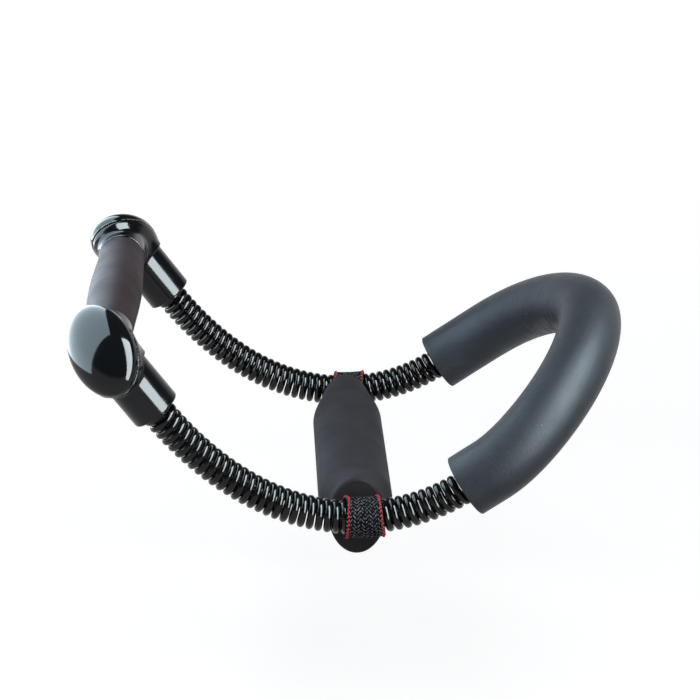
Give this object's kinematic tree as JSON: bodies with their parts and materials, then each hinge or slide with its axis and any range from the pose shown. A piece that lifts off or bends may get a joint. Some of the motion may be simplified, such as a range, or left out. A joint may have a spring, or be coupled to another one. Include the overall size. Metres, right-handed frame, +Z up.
{
  "type": "wrist trainer",
  "caption": "Spring-loaded forearm and wrist exerciser: a padded U armrest and a hand grip joined by coil springs, with a foam pad slung between them under the wrist.",
  "frame": {"origin": "on the inner face of the armrest's bow, at its crown, where the back of the forearm bears", "axes": "+X along the forearm towards the elbow, so the hand grip is at -X; +Y across, towards the left piece of each pair; +Z up, away from the wrist pad"},
  "size_m": [0.2797, 0.2008, 0.1375],
  "materials": {
    "foam": "matte, fine-celled",
    "steel": "plain drawn",
    "nylon": "moulded",
    "spring_lacquer": "glossy black",
    "webbing": "twill webbing with red stitching",
    "core_plastic": "extruded",
    "fitting": "high gloss",
    "grip_rubber": "smooth satin"
  },
  "bodies": {
    "armrest": {"armrest_foam": "foam", "armrest_rod": "steel", "armrest_anchor_left": "nylon", "armrest_anchor_right": "nylon"},
    "springs": {"spring_left": "spring_lacquer", "spring_right": "spring_lacquer"},
    "straps": {"pad_strap_left": "webbing", "pad_strap_right": "webbing"},
    "roller": {"pad_foam": "foam", "pad_core": "core_plastic"},
    "handle": {"elbow_left": "fitting", "elbow_right": "fitting", "elbow_cap_left": "fitting", "elbow_cap_right": "fitting", "spring_plug_left": "nylon", "spring_plug_right": "nylon", "grip_tube": "steel", "grip_sleeve": "grip_rubber", "tube_insert_left": "steel", "tube_insert_right": "steel", "cap_screw_left": "steel", "cap_screw_right": "steel", "screw_washer_left": "steel", "screw_washer_right": "steel"}
  },
  "joints": [
    {"name": "spring_bend_arm", "type": "hinge", "parent": "armrest", "child": "springs", "pos_m": [-0.07796, 0, -0.05936], "axis": [0, 1, 0], "range_deg": [-33, 6], "stiffness_Nm_per_rad": 20, "deforming": ["spring_left", "spring_right"]},
    {"name": "spring_bend_wrist", "type": "hinge", "parent": "springs", "child": "handle", "pos_m": [-0.16543, 0, -0.05246], "axis": [0, 1, 0], "range_deg": [-55, 9], "stiffness_Nm_per_rad": 12, "deforming": ["spring_left", "spring_right"]},
    {"name": "pad_slide", "type": "hinge", "parent": "springs", "child": "straps", "pos_m": [-0.11093, 0, 0.02831], "axis": [0, 1, 0], "range_deg": [-8, 8]},
    {"name": "pad_roll", "type": "hinge", "parent": "straps", "child": "roller", "pos_m": [-0.11175, 0, -0.07049], "axis": [0, 1, 0], "continuous": true}
  ],
  "couplings": [
    {"joint": "spring_bend_arm", "follows": "spring_bend_wrist", "ratio": 0.59}
  ]
}
